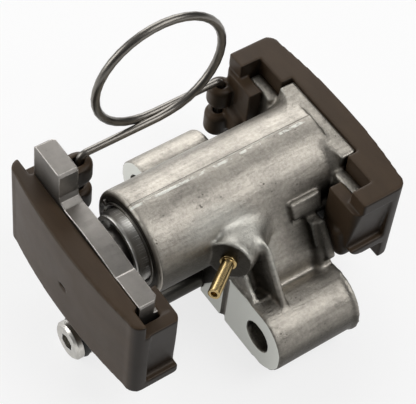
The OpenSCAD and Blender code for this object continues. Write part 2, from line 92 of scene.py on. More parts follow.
class Form(NamedTuple):
    """A block that adds to a piece or cuts it, in millimetres, turned by degrees about its own X axis."""
    place: tuple
    size: tuple
    turn: float = 0
    corner: float = 0
    operation: str = "UNION"


class Region(NamedTuple):
    """A box, in millimetres, in which the casting's corners are eased, and in how many rounds."""
    low: tuple
    high: tuple
    rounds: int


# Forms of the casting, the shoes and the mouth ring

SIDES = (-1, 1)
SHELF_SLOPE = 53.4
FACET_SLOPE = 68.2
PAD_SLOPE = 59.3
SHELF_FILL = Form((8.9, -12.92, -2.26), (9.4, 11.74, 2.5), SHELF_SLOPE)
LOWER_FACET = Form((11.2, -18.92, -7.29), (10.6, 3.1, 2.0), FACET_SLOPE, operation="DIFFERENCE")
GUSSET_RECESS = Form((3.15, -16.42, -5.72), (2.6, 7.5, 6.0), SHELF_SLOPE, operation="DIFFERENCE")
SMALL_PAD = Form((17.4, -10.93, 2.07), (7.0, 3.7, 3.0), PAD_SLOPE, 0.2)
RIB_END = Form((18.9, -16.7, -3.5), (2.0, 8.5, 3.0), SHELF_SLOPE, 0.4)
TONGUE_TOPS = [Form((25.75, side * 14.0, 5.0), (2.6, 7.0, 3.4), 0, 0.5) for side in SIDES]
HOOK_FEET = [Form((22.7, side * 17.2, -4.3), (4.8, 6.0, 7.2), side * 14, 1.6) for side in SIDES]

JET_WAY = Vector((-0.804, -0.581, 0.126)).normalized()
JET_ROOT = at(-1.84, -13.7, 0.8)
BOSS_ROOT = Region((-1.0, -16.0, 0.5), (13.0, -5.0, 9.5), 50)
SHELF_EDGE = Region((6.0, -22.0, -9.0), (17.5, -17.0, -4.0), 14)
BOSS_FACE_DEPTH = 1.5 * MM
BARREL_WALL = 9.5 * MM

MOUTH_X = -15.55
RING_GAP = Form((MOUTH_X, 8.25, 2.2), (2.0, 2.0, 2.2), 15, operation="DIFFERENCE")
RING_END = Form((-15.8, 7.75, 4.25), (0.9, 1.3, 1.2), 29, 0.3)

# Travel of the springs' joints, and the heights in millimetres above which the clip's wire swells

PLUNGER_TRAVEL = 2.5 * MM
BALL_LIFT = 0.5 * MM
CLIP_LEVELS = (5.6, 6.0, 6.4)
CLIP_SWELL = 0.045 * MM

# Stage: place and size of each lamp, the floor's own light, the camera's axes

LAMPS = {
    "key_lamp": (Vector((0.23, 0.48, 0.29)), 0.50),
    "front_lamp": (Vector((0.22, -0.25, 0.44)), 0.36),
    "left_lamp": (Vector((-0.42, 0.34, 0.26)), 0.36),
    "side_lamp": (Vector((0.175, -0.40, 0.095)), 0.30),
}
FLOOR_GLOW = 0.8
MIRRORED_GLOW = 0.38
CAMERA_RIGHT = Vector((0.82007, -0.56716, 0.07634))
CAMERA_UP = Vector((0.42026, 0.68741, 0.59233))


# Properties


def hue(red, green, blue):
    """A colour read on an sRGB screen, 0 to 255, as the linear colour that the shaders take."""
    linear = []
    for level in (red, green, blue):
        part = level / 255
        linear.append(part / 12.92 if part <= 0.04045 else ((part + 0.055) / 1.055) ** 2.4)
    return (*linear, 1.0)


def colour(name, description, rgb):
    """A colour property with its default."""
    return bpy.props.FloatVectorProperty(
        name=name, description=description, subtype="COLOR", size=4, min=0, max=1, default=hue(*rgb))


def length(name, description, millimetres):
    """A length property with its default."""
    return bpy.props.FloatProperty(
        name=name, description=description, unit="LENGTH", min=0, default=millimetres * MM, precision=5)


def power(name, description, watts):
    """A lamp's power property with its default."""
    return bpy.props.FloatProperty(name=name, description=description, subtype="POWER", default=watts)


def shade(tone, share, lift=0.0):
    """A tone made darker or paler, fully opaque."""
    return (*(min(1.0, share * level + lift) for level in tone[:3]), 1.0)


class TensionerCasting(bpy.types.PropertyGroup):
    """Sizes and colours of the die casting."""
    skin: colour("Casting skin", "Colour of the cast aluminium", (186, 180, 170))
    # This dark tone fills the pores, and is painted shade in closed corners, on the mouth's end face and
    # beside the parting strip.
    pores_and_shade: colour("Casting hollows", "Colour of the aluminium in corners and pores", (92, 87, 80))
    # This tone is painted shade: it darkens the faces turned down and to the near side, the corner by the
    # flange, the lug face beside the pads, the face around the jet and the mouth's end face.
    painted_shade: colour("Stained faces", "Colour of the aluminium that oil has darkened", (50, 47, 42))
    # This pale tone colours the milled pads and the rubbed crest, and is also painted highlight on the upper
    # faces by the jet, the bore's edge and edge lines.
    machined_and_highlight: colour("Machined faces", "Colour of the milled and turned faces", (222, 223, 216))
    grid: length("Surface grid", "Size of the grid that rounds the casting's corners", 0.37)
    flash_width: length("Flash width", "Width of the trimmed parting line on the barrel", 0.26)
    flash_height: length("Flash height", "How far the parting line stands out of the barrel", 0.05)


class TensionerShoes(bpy.types.PropertyGroup):
    """Sizes and colours of the two plastic shoes."""
    plastic: colour("Plastic", "Colour of the moulded shoes", (68, 54, 40))
    edge: colour("Worn edge", "Colour of the plastic along rubbed edges", (92, 76, 60))
    grid: length("Surface grid", "Size of the grid that rounds the mouldings' corners", 0.26)


class TensionerSteel(bpy.types.PropertyGroup):
    """Colours of the steel pieces."""
    sintered: colour("Sintered plate", "Colour of the pressed and sintered shoe plate", (143, 139, 134))
    ground: colour("Ground steel", "Colour of the plunger and the valve", (188, 186, 181))
    wire: colour("Spring wire", "Colour of the clip and the springs", (132, 128, 122))
    plated: colour("Plated steel", "Colour of the inlet", (226, 223, 216))
    drawn: colour("Drawn tube", "Colour of the feed pipe", (84, 82, 78))
    edge_radius: length("Edge radius", "Radius of the broken edges of steel pieces", 0.35)


class TensionerFeed(bpy.types.PropertyGroup):
    """Colours of the jet, the seal and the fill."""
    brass: colour("Brass", "Colour of the oil jet", (208, 182, 130))
    rubber: colour("Rubber", "Colour of the inlet seal", (30, 30, 29))
    fill: colour("Fill", "Colour of the plastic fill inside the plunger", (70, 66, 60))


class TensionerStage(bpy.types.PropertyGroup):
    """Floor, lamps and camera."""
    floor: colour("Floor", "Colour of the floor", (252, 252, 252))
    lens: bpy.props.FloatProperty(name="Lens", description="Focal length for a 36 mm wide sensor",
                                  unit="CAMERA", default=148.8)
    eye: bpy.props.FloatVectorProperty(name="Eye", description="Place of the camera", subtype="XYZ", size=3,
                                       unit="LENGTH", default=(-0.12605, -0.14837, 0.28162))
    key_lamp: power("Key lamp", "Power of the large soft lamp behind the part", 2.4)
    front_lamp: power("Front lamp", "Power of the soft lamp on the near side", 1.35)
    left_lamp: power("Left lamp", "Power of the soft lamp ahead of the plunger", 1.5)
    side_lamp: power("Side lamp", "Power of the low soft lamp on the near side", 0.12)


# Modelling steps


def only(piece):
    """Leaves this piece alone selected and active, in object mode."""
    if bpy.context.object and bpy.context.object.mode != "OBJECT":
        bpy.ops.object.mode_set(mode="OBJECT")
    bpy.ops.object.select_all(action="DESELECT")
    piece.hide_set(False)
    piece.select_set(True)
    bpy.context.view_layer.objects.active = piece


def copy_node(node, name):
    """A new piece with the node's mesh, its doubled corners merged."""
    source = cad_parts[node]
    piece = bpy.data.objects.new(name, source.data.copy())
    piece.data.name = name
    piece.data.materials.clear()
    bpy.context.scene.collection.objects.link(piece)
    only(piece)
    bpy.ops.object.mode_set(mode="EDIT")
    bpy.ops.mesh.select_all(action="SELECT")
    bpy.ops.mesh.remove_doubles(threshold=0.002 * MM)
    bpy.ops.object.mode_set(mode="OBJECT")
    return piece


def apply_modifiers(piece):
    """Applies every modifier of the piece in order."""
    only(piece)
    for modifier in list(piece.modifiers):
        bpy.ops.object.modifier_apply(modifier=modifier.name)


def soften(piece, grid, rounds):
    """Rounds all corners of a closed piece, as a mould or die leaves them."""
    remesh = piece.modifiers.new("grid", "REMESH")
    remesh.mode = "VOXEL"
    remesh.voxel_size = grid
    remesh.use_smooth_shade = True
    ease = piece.modifiers.new("ease", "SMOOTH")
    ease.factor = 0.5
    ease.iterations = rounds
    apply_modifiers(piece)


def bevel(piece, width, segments, angle=30):
    """Rounds the piece's edges that bend by more than the angle."""
    edges = piece.modifiers.new("edges", "BEVEL")
    edges.width = width
    edges.segments = segments
    edges.limit_method = "ANGLE"
    edges.angle_limit = math.radians(angle)
    apply_modifiers(piece)


def named(name):
    """The piece that was just added, with its name."""
    piece = bpy.context.object
    piece.name = name
    piece.data.name = name
    return piece


def block(form):
    """The form's block, with rounded edges."""
    bpy.ops.object.select_all(action="DESELECT")
    turn = (math.radians(form.turn), 0, 0)
    bpy.ops.mesh.primitive_cube_add(size=1, location=at(*form.place), rotation=turn)
    made = bpy.context.object
    made.scale = Vector(form.size) * MM
    bpy.ops.object.transform_apply(location=True, rotation=True, scale=True)
    if form.corner:
        bevel(made, form.corner * MM, 4)
    return made


def disc(place, radius, depth):
    """A round bar along X about the given middle."""
    bpy.ops.object.select_all(action="DESELECT")
    bpy.ops.mesh.primitive_cylinder_add(vertices=96, radius=radius * MM, depth=depth * MM, location=place,
                                        rotation=(0, math.pi / 2, 0))
    made = bpy.context.object
    bpy.ops.object.transform_apply(location=True, rotation=True, scale=True)
    return made


def work(piece, tool, operation):
    """Cuts the tool out of the piece, or adds it to it, and removes the tool."""
    step = piece.modifiers.new("work", "BOOLEAN")
    step.operation = operation
    step.solver = "EXACT"
    step.object = tool
    apply_modifiers(piece)
    bpy.data.objects.remove(tool)


def shape(piece, form):
    """Adds the form to the piece, or cuts it out."""
    work(piece, block(form), form.operation)


def select_where(piece, test):
    """In edit mode with face selection, selects the faces whose centre and normal pass the test."""
    only(piece)
    bpy.ops.object.mode_set(mode="EDIT")
    bpy.ops.mesh.select_mode(type="FACE")
    bpy.ops.mesh.select_all(action="DESELECT")
    bpy.ops.object.mode_set(mode="OBJECT")
    for face in piece.data.polygons:
        face.select = bool(test(face.center, face.normal))
    bpy.ops.object.mode_set(mode="EDIT")


def finish_piece(piece, body, slot, material, *nodes):
    """Gives a piece its material and the body it rides on, and hides the nodes that it stands for; the slot
    argument is not used.
    """
    only(piece)
    piece.data.materials.clear()
    piece.data.materials.append(material)
    if nodes:
        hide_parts(*nodes)
    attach(piece, body)


def dress(material, *nodes):
    """Gives CAD nodes a material in their own slots."""
    for node in nodes:
        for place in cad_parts[node].material_slots:
            place.material = material


# Shader groups


class Sheet:
    """A node tree with short calls that add and join its nodes."""

    def __init__(self, tree):
        self.tree = tree

    def add(self, kind, **settings):
        """Adds a node with its settings."""
        made = self.tree.nodes.new("ShaderNode" + kind)
        for key, value in settings.items():
            setattr(made, key, value)
        return made

    def join(self, start, end):
        """Links an output to an input."""
        self.tree.links.new(start, end)

    def place(self):
        """The surface point in the piece's own coordinates."""
        return self.add("TexCoord").outputs["Object"]

    def normal(self):
        """The surface normal."""
        return self.add("NewGeometry").outputs["Normal"]

    def parts(self, vector):
        """The X, Y and Z of a vector."""
        made = self.add("SeparateXYZ")
        self.join(vector, made.inputs[0])
        return made.outputs

    def along(self, vector, way):
        """How far a vector points along a fixed way."""
        made = self.add("VectorMath", operation="DOT_PRODUCT")
        self.join(vector, made.inputs[0])
        made.inputs[1].default_value = Vector(way).normalized()
        return made.outputs["Value"]

    def reach(self, vector):
        """The length of a vector."""
        made = self.add("VectorMath", operation="LENGTH")
        self.join(vector, made.inputs[0])
        return made.outputs["Value"]

    def maths(self, operation, first, second=None, third=None):
        """The result of a sum on sockets or numbers."""
        made = self.add("Math", operation=operation)
        for place, value in zip(made.inputs, (first, second, third)):
            if value is None:
                continue
            if isinstance(value, (int, float)):
                place.default_value = value
            else:
                self.join(value, place)
        return made.outputs[0]

    def ramp(self, value, stops):
        """A value turned into greys or colours between stops."""
        made = self.add("ValToRGB")
        strip = made.color_ramp.elements
        while len(strip) < len(stops):
            strip.new(0.5)
        for stop, (place, tone) in zip(strip, stops):
            stop.position = place
            stop.color = tone if isinstance(tone, tuple) else (tone, tone, tone, 1)
        self.join(value, made.inputs[0])
        return made.outputs[0]

    def noise(self, scale, detail=3.0, vector=None, roughness=0.55):
        """A noise pattern, 0 to 1."""
        made = self.add("TexNoise")
        made.inputs["Detail"].default_value = detail
        made.inputs["Roughness"].default_value = roughness
        if isinstance(scale, (int, float)):
            made.inputs["Scale"].default_value = scale
        else:
            self.join(scale, made.inputs["Scale"])
        self.join(vector, made.inputs["Vector"])
        return made.outputs["Fac"]

    def mix(self, mask, first, second):
        """The first colour, and the second where the mask is 1."""
        made = self.add("Mix", data_type="RGBA")
        for place, value in ((made.inputs[0], mask), (made.inputs[6], first), (made.inputs[7], second)):
            if isinstance(value, (int, float, tuple)) or hasattr(value, "__len__"):
                place.default_value = value
            else:
                self.join(value, place)
        return made.outputs[2]


def new_group(name, inputs, outputs):
    """An empty shader group with its sockets. Returns the sheet, its input node and its output node."""
    tree = bpy.data.node_groups.new(name, "ShaderNodeTree")
    for label, kind, default in inputs:
        socket = tree.interface.new_socket(label, in_out="INPUT", socket_type=kind)
        if default is not None:
            socket.default_value = default
    for label, kind in outputs:
        tree.interface.new_socket(label, in_out="OUTPUT", socket_type=kind)
    sheet = Sheet(tree)
    return sheet, tree.nodes.new("NodeGroupInput"), tree.nodes.new("NodeGroupOutput")


def surface_grain_group():
    """Patches, fine grain and pores at the scale of a small casting or moulding."""
    sheet, given, result = new_group(
        "Surface Grain",
        [("Patch Scale", "NodeSocketFloat", 200.0), ("Grain Scale", "NodeSocketFloat", 2500.0)],
        [("Patches", "NodeSocketFloat"), ("Grain", "NodeSocketFloat"), ("Pores", "NodeSocketFloat")])
    place = sheet.place()
    sheet.join(sheet.noise(given.outputs["Patch Scale"], 4.0, place, 0.6), result.inputs["Patches"])
    grain = sheet.noise(given.outputs["Grain Scale"], 5.0, place, 0.65)
    sheet.join(grain, result.inputs["Grain"])
    cells = sheet.add("TexVoronoi", feature="F1")
    sheet.join(place, cells.inputs["Vector"])
    sheet.join(sheet.maths("MULTIPLY", given.outputs["Grain Scale"], 0.35), cells.inputs["Scale"])
    pores = sheet.ramp(cells.outputs["Distance"], [(0.05, 1.0), (0.22, 0.0)])
    chosen = sheet.ramp(sheet.noise(given.outputs["Patch Scale"], 2.0, place), [(0.5, 0.0), (0.62, 1.0)])
    sheet.join(sheet.maths("MULTIPLY", pores, chosen), result.inputs["Pores"])
    return sheet.tree


def edge_wear_group():
    """Masks of broken convex edges and of closed corners on crisp pieces, found from the rounded normal."""
    sheet, given, result = new_group(
        "Edge Wear",
        [("Radius", "NodeSocketFloat", 0.0003), ("Breakup", "NodeSocketFloat", 900.0)],
        [("Edge", "NodeSocketFloat")])
    rounded = sheet.add("Bevel", samples=6)
    sheet.join(given.outputs["Radius"], rounded.inputs["Radius"])
    near = sheet.add("VectorMath", operation="DOT_PRODUCT")
    sheet.join(rounded.outputs["Normal"], near.inputs[0])
    sheet.join(sheet.normal(), near.inputs[1])
    bare = sheet.ramp(near.outputs["Value"], [(0.86, 1.0), (0.985, 0.0)])
    place = sheet.place()
    broken = sheet.ramp(sheet.noise(given.outputs["Breakup"], 3.0, place), [(0.3, 0.35), (0.6, 1.0)])
    sheet.join(sheet.maths("MULTIPLY", bare, broken), result.inputs["Edge"])
    return sheet.tree


def relief_group():
    """Masks of raised edges and of hollows on finely meshed pieces, found from the mesh's own curvature."""
    sheet, given, result = new_group(
        "Relief",
        [("Breakup", "NodeSocketFloat", 500.0)],
        [("Edge", "NodeSocketFloat"), ("Hollow", "NodeSocketFloat")])
    bend = sheet.add("NewGeometry").outputs["Pointiness"]
    place = sheet.place()
    broken = sheet.ramp(sheet.noise(given.outputs["Breakup"], 4.0, place), [(0.3, 0.3), (0.62, 1.0)])
    raised = sheet.ramp(bend, [(0.52, 0.0), (0.60, 1.0)])
    sheet.join(sheet.maths("MULTIPLY", raised, broken), result.inputs["Edge"])
    sheet.join(sheet.ramp(bend, [(0.40, 1.0), (0.485, 0.0)]), result.inputs["Hollow"])
    return sheet.tree


def turned_lines_group():
    """Fine rings about the X axis through the given point, as a turning tool leaves them."""
    sheet, given, result = new_group(
        "Turned Lines",
        [("Vector", "NodeSocketVector", None), ("Pitch", "NodeSocketFloat", 0.00018)],
        [("Lines", "NodeSocketFloat")])
    ahead, across, up = sheet.parts(given.outputs["Vector"])
    flat = sheet.add("CombineXYZ")
    sheet.join(across, flat.inputs[1])
    sheet.join(up, flat.inputs[2])
    along = sheet.maths("ADD", sheet.reach(flat.outputs[0]), ahead)
    turns = sheet.maths("DIVIDE", along, given.outputs["Pitch"])
    lines = sheet.add("TexNoise", noise_dimensions="1D")
    lines.inputs["Scale"].default_value = 1.0
    lines.inputs["Detail"].default_value = 3.0
    sheet.join(turns, lines.inputs["W"])
    sheet.join(lines.outputs["Fac"], result.inputs["Lines"])
    return sheet.tree


GROUPS = {}


def group(name):
    """The shared shader group of that name, made when it is first used."""
    makers = {"grain": surface_grain_group, "edge": edge_wear_group, "relief": relief_group,
              "turned": turned_lines_group}
    if name not in GROUPS:
        GROUPS[name] = makers[name]()
    return GROUPS[name]


class Finish(Sheet):
    """A material under construction, around one Principled BSDF."""

    def __init__(self, name):
        self.material = bpy.data.materials.new(name)
        self.material.use_nodes = True
        super().__init__(self.material.node_tree)
        self.skin = self.tree.nodes["Principled BSDF"]

    def set(self, **values):
        """Sets constants of the shader."""
        for key, value in values.items():
            self.skin.inputs[key.replace("_", " ")].default_value = value

    def effect(self, name, **values):
        """Adds a shared group with its values."""
        made = self.add("Group")
        made.node_tree = group(name)
        for key, value in values.items():
            made.inputs[key.replace("_", " ")].default_value = value
        return made

    def feed(self, socket, value):
        """Links a value to the shader."""
        self.join(value, self.skin.inputs[socket])

    def bump(self, height, distance, strength=1.0, normal=None):
        """Gives the shader a relief, on the given normal if there is one."""
        made = self.add("Bump")
        made.inputs["Distance"].default_value = distance
        made.inputs["Strength"].default_value = strength
        self.join(height, made.inputs["Height"])
        if normal is not None:
            self.join(normal, made.inputs["Normal"])
        self.feed("Normal", made.outputs[0])

    def stretched(self, scale):
        """The surface point, scaled so that a pattern is drawn out."""
        made = self.add("Mapping")
        made.inputs["Scale"].default_value = scale
        self.join(self.place(), made.inputs["Vector"])
        return made.outputs[0]

    def centred(self, y, z):
        """The surface point, measured from a line along X."""
        made = self.add("Mapping", vector_type="POINT")
        made.inputs["Location"].default_value = (0, -y, -z)
        self.join(self.place(), made.inputs["Vector"])
        return made.outputs[0]


class CastAluminium(Finish):
    """Die-cast aluminium: soft skin with pores and flow patches, milled lug pads and a turned mouth."""

    def __init__(self, tones):
        super().__init__("cast_aluminium")
        self.set(Metallic=1.0)
        self.tones = tones
        self.grain = self.effect("grain", Patch_Scale=190.0, Grain_Scale=2600.0)
        self.relief = self.effect("relief", Breakup=420.0)
        self.streaks = self.noise(900.0, 5.0, self.stretched((0.12, 1.0, 1.0)), 0.6)
        self.specks = self.noise(1500.0, 4.0, self.place(), 0.7)
        self.x, self.y, self.z = self.parts(self.place())
        self.from_jet = self.distance(JET_ROOT)
        self.pad, self.shaded_face = self.lug_masks()
        base = self.mottled()
        for layer in (self.painted_low_shade, self.flange_corner, self.lug_faces, self.mouth_rings, self.shaded_boss_face,
                      self.crest_marks, self.lit_boss, self.bright_edges):
            base = layer(base)
        self.feed("Base Color", base)
        self.surface()

    def distance(self, point):
        """How far the surface lies from a point."""
        made = self.add("VectorMath", operation="DISTANCE")
        self.join(self.place(), made.inputs[0])
        made.inputs[1].default_value = point
        return made.outputs["Value"]

    def lug_masks(self):
        """Masks of the milled lug pads and of the face beside them, which takes painted shade."""
        ahead = self.maths("LESS_THAN", self.parts(self.normal())[0], -0.9)
        face = self.maths("MULTIPLY", self.maths("COMPARE", self.x, 0.0, 0.3 * MM), ahead)
        across, up = 0.827, 0.562
        slope = self.maths("MULTIPLY_ADD", self.z, up, self.maths("MULTIPLY", self.y, across))
        near_pad = self.maths("LESS_THAN", slope, across * AXIS_Y + up * AXIS_Z - 15.1 * MM)
        far_pad = self.maths("GREATER_THAN", self.y, AXIS_Y + 5.0 * MM)
        pad = self.maths("MULTIPLY", face, self.maths("MAXIMUM", near_pad, far_pad))
        return pad, self.maths("SUBTRACT", face, pad)

    def mottled(self):
        """The skin with its flow patches and pores, and painted shade in the closed corners."""
        mottle = self.maths("MULTIPLY", self.grain.outputs["Patches"], 0.35)
        mottle = self.maths("MULTIPLY_ADD", self.streaks, 0.3, mottle)
        mottle = self.maths("MULTIPLY_ADD", self.specks, 0.35, mottle)
        patches = self.ramp(mottle, [(0.40, 0.0), (0.60, 1.0)])
        base = self.mix(patches, self.tones.skin, shade(self.tones.skin, 0.58))
        # Painted shade: closed corners, found from the curvature, take the dark tone.
        base = self.mix(self.relief.outputs["Hollow"], base, self.tones.pores_and_shade)
        return self.mix(self.maths("MULTIPLY", self.grain.outputs["Pores"], 0.7), base, self.tones.pores_and_shade)

    def painted_low_shade(self, base):
        """Painted shade on the faces that turn down and to the near side."""
        lower = self.along(self.normal(), (-0.35, -0.65, -0.67))
        return self.mix(self.ramp(lower, [(0.12, 0.0), (0.55, 0.82)]), base, self.tones.painted_shade)

    def flange_corner(self, base):
        """Painted shadow in the corner between the shelf and the flange."""
        span = 20.0 * MM
        behind = self.ramp(self.maths("DIVIDE", self.x, span), [(0.5, 0.0), (0.78, 0.85)])
        corner = self.maths("MULTIPLY", behind, self.maths("LESS_THAN", self.y, AXIS_Y - 9.0 * MM))
        height = self.maths("DIVIDE", self.maths("SUBTRACT", self.z, AXIS_Z - 12.0 * MM), span)
        shaded = self.ramp(height, [(0.22, 0.0), (0.4, 1.0), (0.68, 1.0), (0.74, 0.5), (0.86, 0.0)])
        return self.mix(self.maths("MULTIPLY", corner, shaded), base, self.tones.painted_shade)

    def lug_faces(self, base):
        """Painted shade on the lug face beside the pads, and the pale pads milled into it."""
        return self.mix(self.pad, self.mix(self.shaded_face, base, self.tones.painted_shade), self.tones.machined_and_highlight)

    def mouth_rings(self, base):
        """Rings on the barrel's mouth: a pale turned edge ring that also stands as painted highlight, and
        painted shade on the end face and in the bore gap.
        """
        mouth = self.maths("LESS_THAN", self.x, -14.9 * MM)
        across = self.add("VectorMath", operation="MULTIPLY")
        self.join(self.centred(AXIS_Y, AXIS_Z), across.inputs[0])
        across.inputs[1].default_value = (0, 1, 1)
        radius = self.maths("DIVIDE", self.reach(across.outputs[0]), 12.0 * MM)
        skin, pores_and_shade = tuple(self.tones.skin), tuple(self.tones.pores_and_shade)
        painted_shade, machined_and_highlight = tuple(self.tones.painted_shade), tuple(self.tones.machined_and_highlight)
        rings = self.ramp(radius, [
            (0.67, painted_shade), (0.68, machined_and_highlight), (0.715, machined_and_highlight), (0.73, painted_shade), (0.76, pores_and_shade),
            (0.83, pores_and_shade), (0.86, skin)])
        return self.mix(mouth, base, rings)

    def shaded_boss_face(self, base):
        """Painted shade on the flat face around the jet."""
        flat = self.ramp(self.along(self.normal(), JET_WAY), [(0.9, 0.0), (0.96, 0.85)])
        near = self.maths("LESS_THAN", self.from_jet, 6.0 * MM)
        return self.mix(self.maths("MULTIPLY", flat, near), base, self.tones.painted_shade)

    def crest_marks(self, base):
        """A broken rubbed line on the barrel's crest, and a painted shadow line beside the parting strip."""
        crest = self.maths("GREATER_THAN", self.z, AXIS_Z + 10.3 * MM)
        wander = self.maths("MULTIPLY_ADD", self.noise(700.0, 4.0, self.place(), 0.65), 0.5 * MM, self.y)
        broken = self.ramp(self.noise(260.0, 3.0, self.place(), 0.6), [(0.5, 0.0), (0.56, 1.0)])
        rubbed = self.maths("COMPARE", wander, AXIS_Y + 0.45 * MM, 0.3 * MM)
        rubbed = self.maths("MULTIPLY", self.maths("MULTIPLY", rubbed, crest), broken)
        base = self.mix(self.maths("MULTIPLY", rubbed, 0.7), base, self.tones.machined_and_highlight)
        # Painted shadow: a dark line beside the parting strip.
        ridge_shadow = self.maths("COMPARE", self.y, AXIS_Y + 1.05 * MM, 0.14 * MM)
        ridge_shadow = self.maths("MULTIPLY", ridge_shadow, crest)
        return self.mix(self.maths("MULTIPLY", ridge_shadow, 0.75), base, self.tones.pores_and_shade)

    def lit_boss(self, base):
        """Painted highlight: the upper faces around the jet made paler."""
        upward = self.ramp(self.parts(self.normal())[2], [(0.25, 0.0), (0.7, 0.4)])
        near = self.ramp(self.maths("DIVIDE", self.from_jet, 20.0 * MM), [(0.4, 1.0), (0.6, 0.0)])
        return self.mix(self.maths("MULTIPLY", upward, near), base, self.tones.machined_and_highlight)

    def bright_edges(self, base):
        """Pale edge lines away from the jet, partly edge wear and partly painted highlight."""
        far = self.ramp(self.maths("DIVIDE", self.from_jet, 20.0 * MM), [(0.8, 0.0), (1.0, 0.4)])
        worn_and_highlit = self.maths("MULTIPLY", self.relief.outputs["Edge"], far)
        return self.mix(worn_and_highlit, base, self.tones.machined_and_highlight)

    def surface(self):
        """Roughness and relief of the skin and of the milled pads."""
        grain = self.grain.outputs["Grain"]
        rough = self.maths("MULTIPLY_ADD", grain, 0.16, 0.36)
        self.feed("Roughness", self.maths("SUBTRACT", rough, self.maths("MULTIPLY", self.pad, 0.12)))
        height = self.maths("SUBTRACT", grain, self.grain.outputs["Pores"])
        height = self.maths("MULTIPLY_ADD", self.streaks, 1.4, height)
        height = self.maths("MULTIPLY_ADD", self.specks, 1.2, height)
        turned = self.effect("turned", Pitch=0.22 * MM)
        self.join(self.centred(AXIS_Y, AXIS_Z), turned.inputs["Vector"])
        milled = self.maths("MULTIPLY", turned.outputs["Lines"], 0.4)
        self.bump(self.mix(self.pad, height, milled), 0.07 * MM, 0.9)


def moulded_plastic(tones):
    """Brown glass-filled plastic: faint flow streaks, fine grain, paler rubbed edges, painted shade in
    closed corners and on faces turned to the near side.
    """
    made = Finish("moulded_plastic")
    made.set(Metallic=0.0, Specular_IOR_Level=0.2)
    grain = made.effect("grain", Patch_Scale=120.0, Grain_Scale=3200.0)
    relief = made.effect("relief", Breakup=700.0)
    flow = made.noise(420.0, 5.0, made.stretched((1.0, 0.25, 1.0)), 0.6)
    streaks = made.ramp(flow, [(0.3, 0.0), (0.75, 1.0)])
    base = made.mix(streaks, tones.plastic, shade(tones.plastic, 0.78))
    base = made.mix(made.maths("MULTIPLY", relief.outputs["Edge"], 0.55), base, tones.edge)
    # Painted shade: closed corners take a darker tone.
    closed = made.maths("MULTIPLY", relief.outputs["Hollow"], 0.6)
    base = made.mix(closed, base, shade(tones.plastic, 0.45))
    # Painted shade: faces turned to the near side take a much darker tone.
    near_end = made.along(made.normal(), (-0.1, -0.95, -0.25))
    painted_near_shade = made.ramp(near_end, [(0.2, 0.0), (0.75, 1.0)])
    made.feed("Base Color", made.mix(painted_near_shade, base, shade(tones.plastic, 0.3)))
    made.feed("Roughness", made.maths("MULTIPLY_ADD", grain.outputs["Patches"], 0.18, 0.34))
    made.bump(grain.outputs["Grain"], 0.03 * MM, 0.35)
    return made.material


def crisp_steel(name, tone, edge_radius, rough_low, rough_span, grain_scale, depth, pores=0.0,
                turned_pitch=None, centre=None):
    """Metal with broken bright edges, partly wear and partly painted highlight, in a grained finish or
    turned about a line along X.
    """
    made = Finish(name)
    made.set(Metallic=1.0)
    grain = made.effect("grain", Patch_Scale=260.0, Grain_Scale=grain_scale)
    edge = made.effect("edge", Radius=edge_radius, Breakup=900.0)
    patches = made.ramp(grain.outputs["Patches"], [(0.3, 0.0), (0.75, 1.0)])
    base = made.mix(patches, tone, shade(tone, 0.72))
    pits = made.maths("MULTIPLY", grain.outputs["Pores"], pores)
    base = made.mix(pits, base, shade(tone, 0.35))
    # Edge wear and painted highlight: the edges take a much paler tone.
    made.feed("Base Color", made.mix(edge.outputs["Edge"], base, shade(tone, 2.2, 0.15)))
    made.feed("Roughness", made.maths("MULTIPLY_ADD", grain.outputs["Grain"], rough_span, rough_low))
    rounded = made.add("Bevel", samples=6)
    rounded.inputs["Radius"].default_value = edge_radius
    height = made.maths("SUBTRACT", grain.outputs["Grain"], pits)
    if turned_pitch:
        turned = made.effect("turned", Pitch=turned_pitch)
        made.join(made.centred(*centre), turned.inputs["Vector"])
        height = made.maths("MULTIPLY_ADD", turned.outputs["Lines"], 1.2, grain.outputs["Grain"])
    made.bump(height, depth, 0.6, rounded.outputs["Normal"])
    return made.material


def soft_black(name, tone, rough_low):
    """Rubber or dark plastic with a fine grain and a bloom."""
    made = Finish(name)
    made.set(Metallic=0.0)
    grain = made.effect("grain", Patch_Scale=400.0, Grain_Scale=4200.0)
    bloom = made.ramp(grain.outputs["Patches"], [(0.4, 0.0), (0.8, 1.0)])
    made.feed("Base Color", made.mix(bloom, tone, shade(tone, 2.2, 0.01)))
    made.feed("Roughness", made.maths("MULTIPLY_ADD", grain.outputs["Patches"], 0.2, rough_low))
    made.bump(grain.outputs["Grain"], 0.02 * MM, 0.5)
    return made.material


# Operators


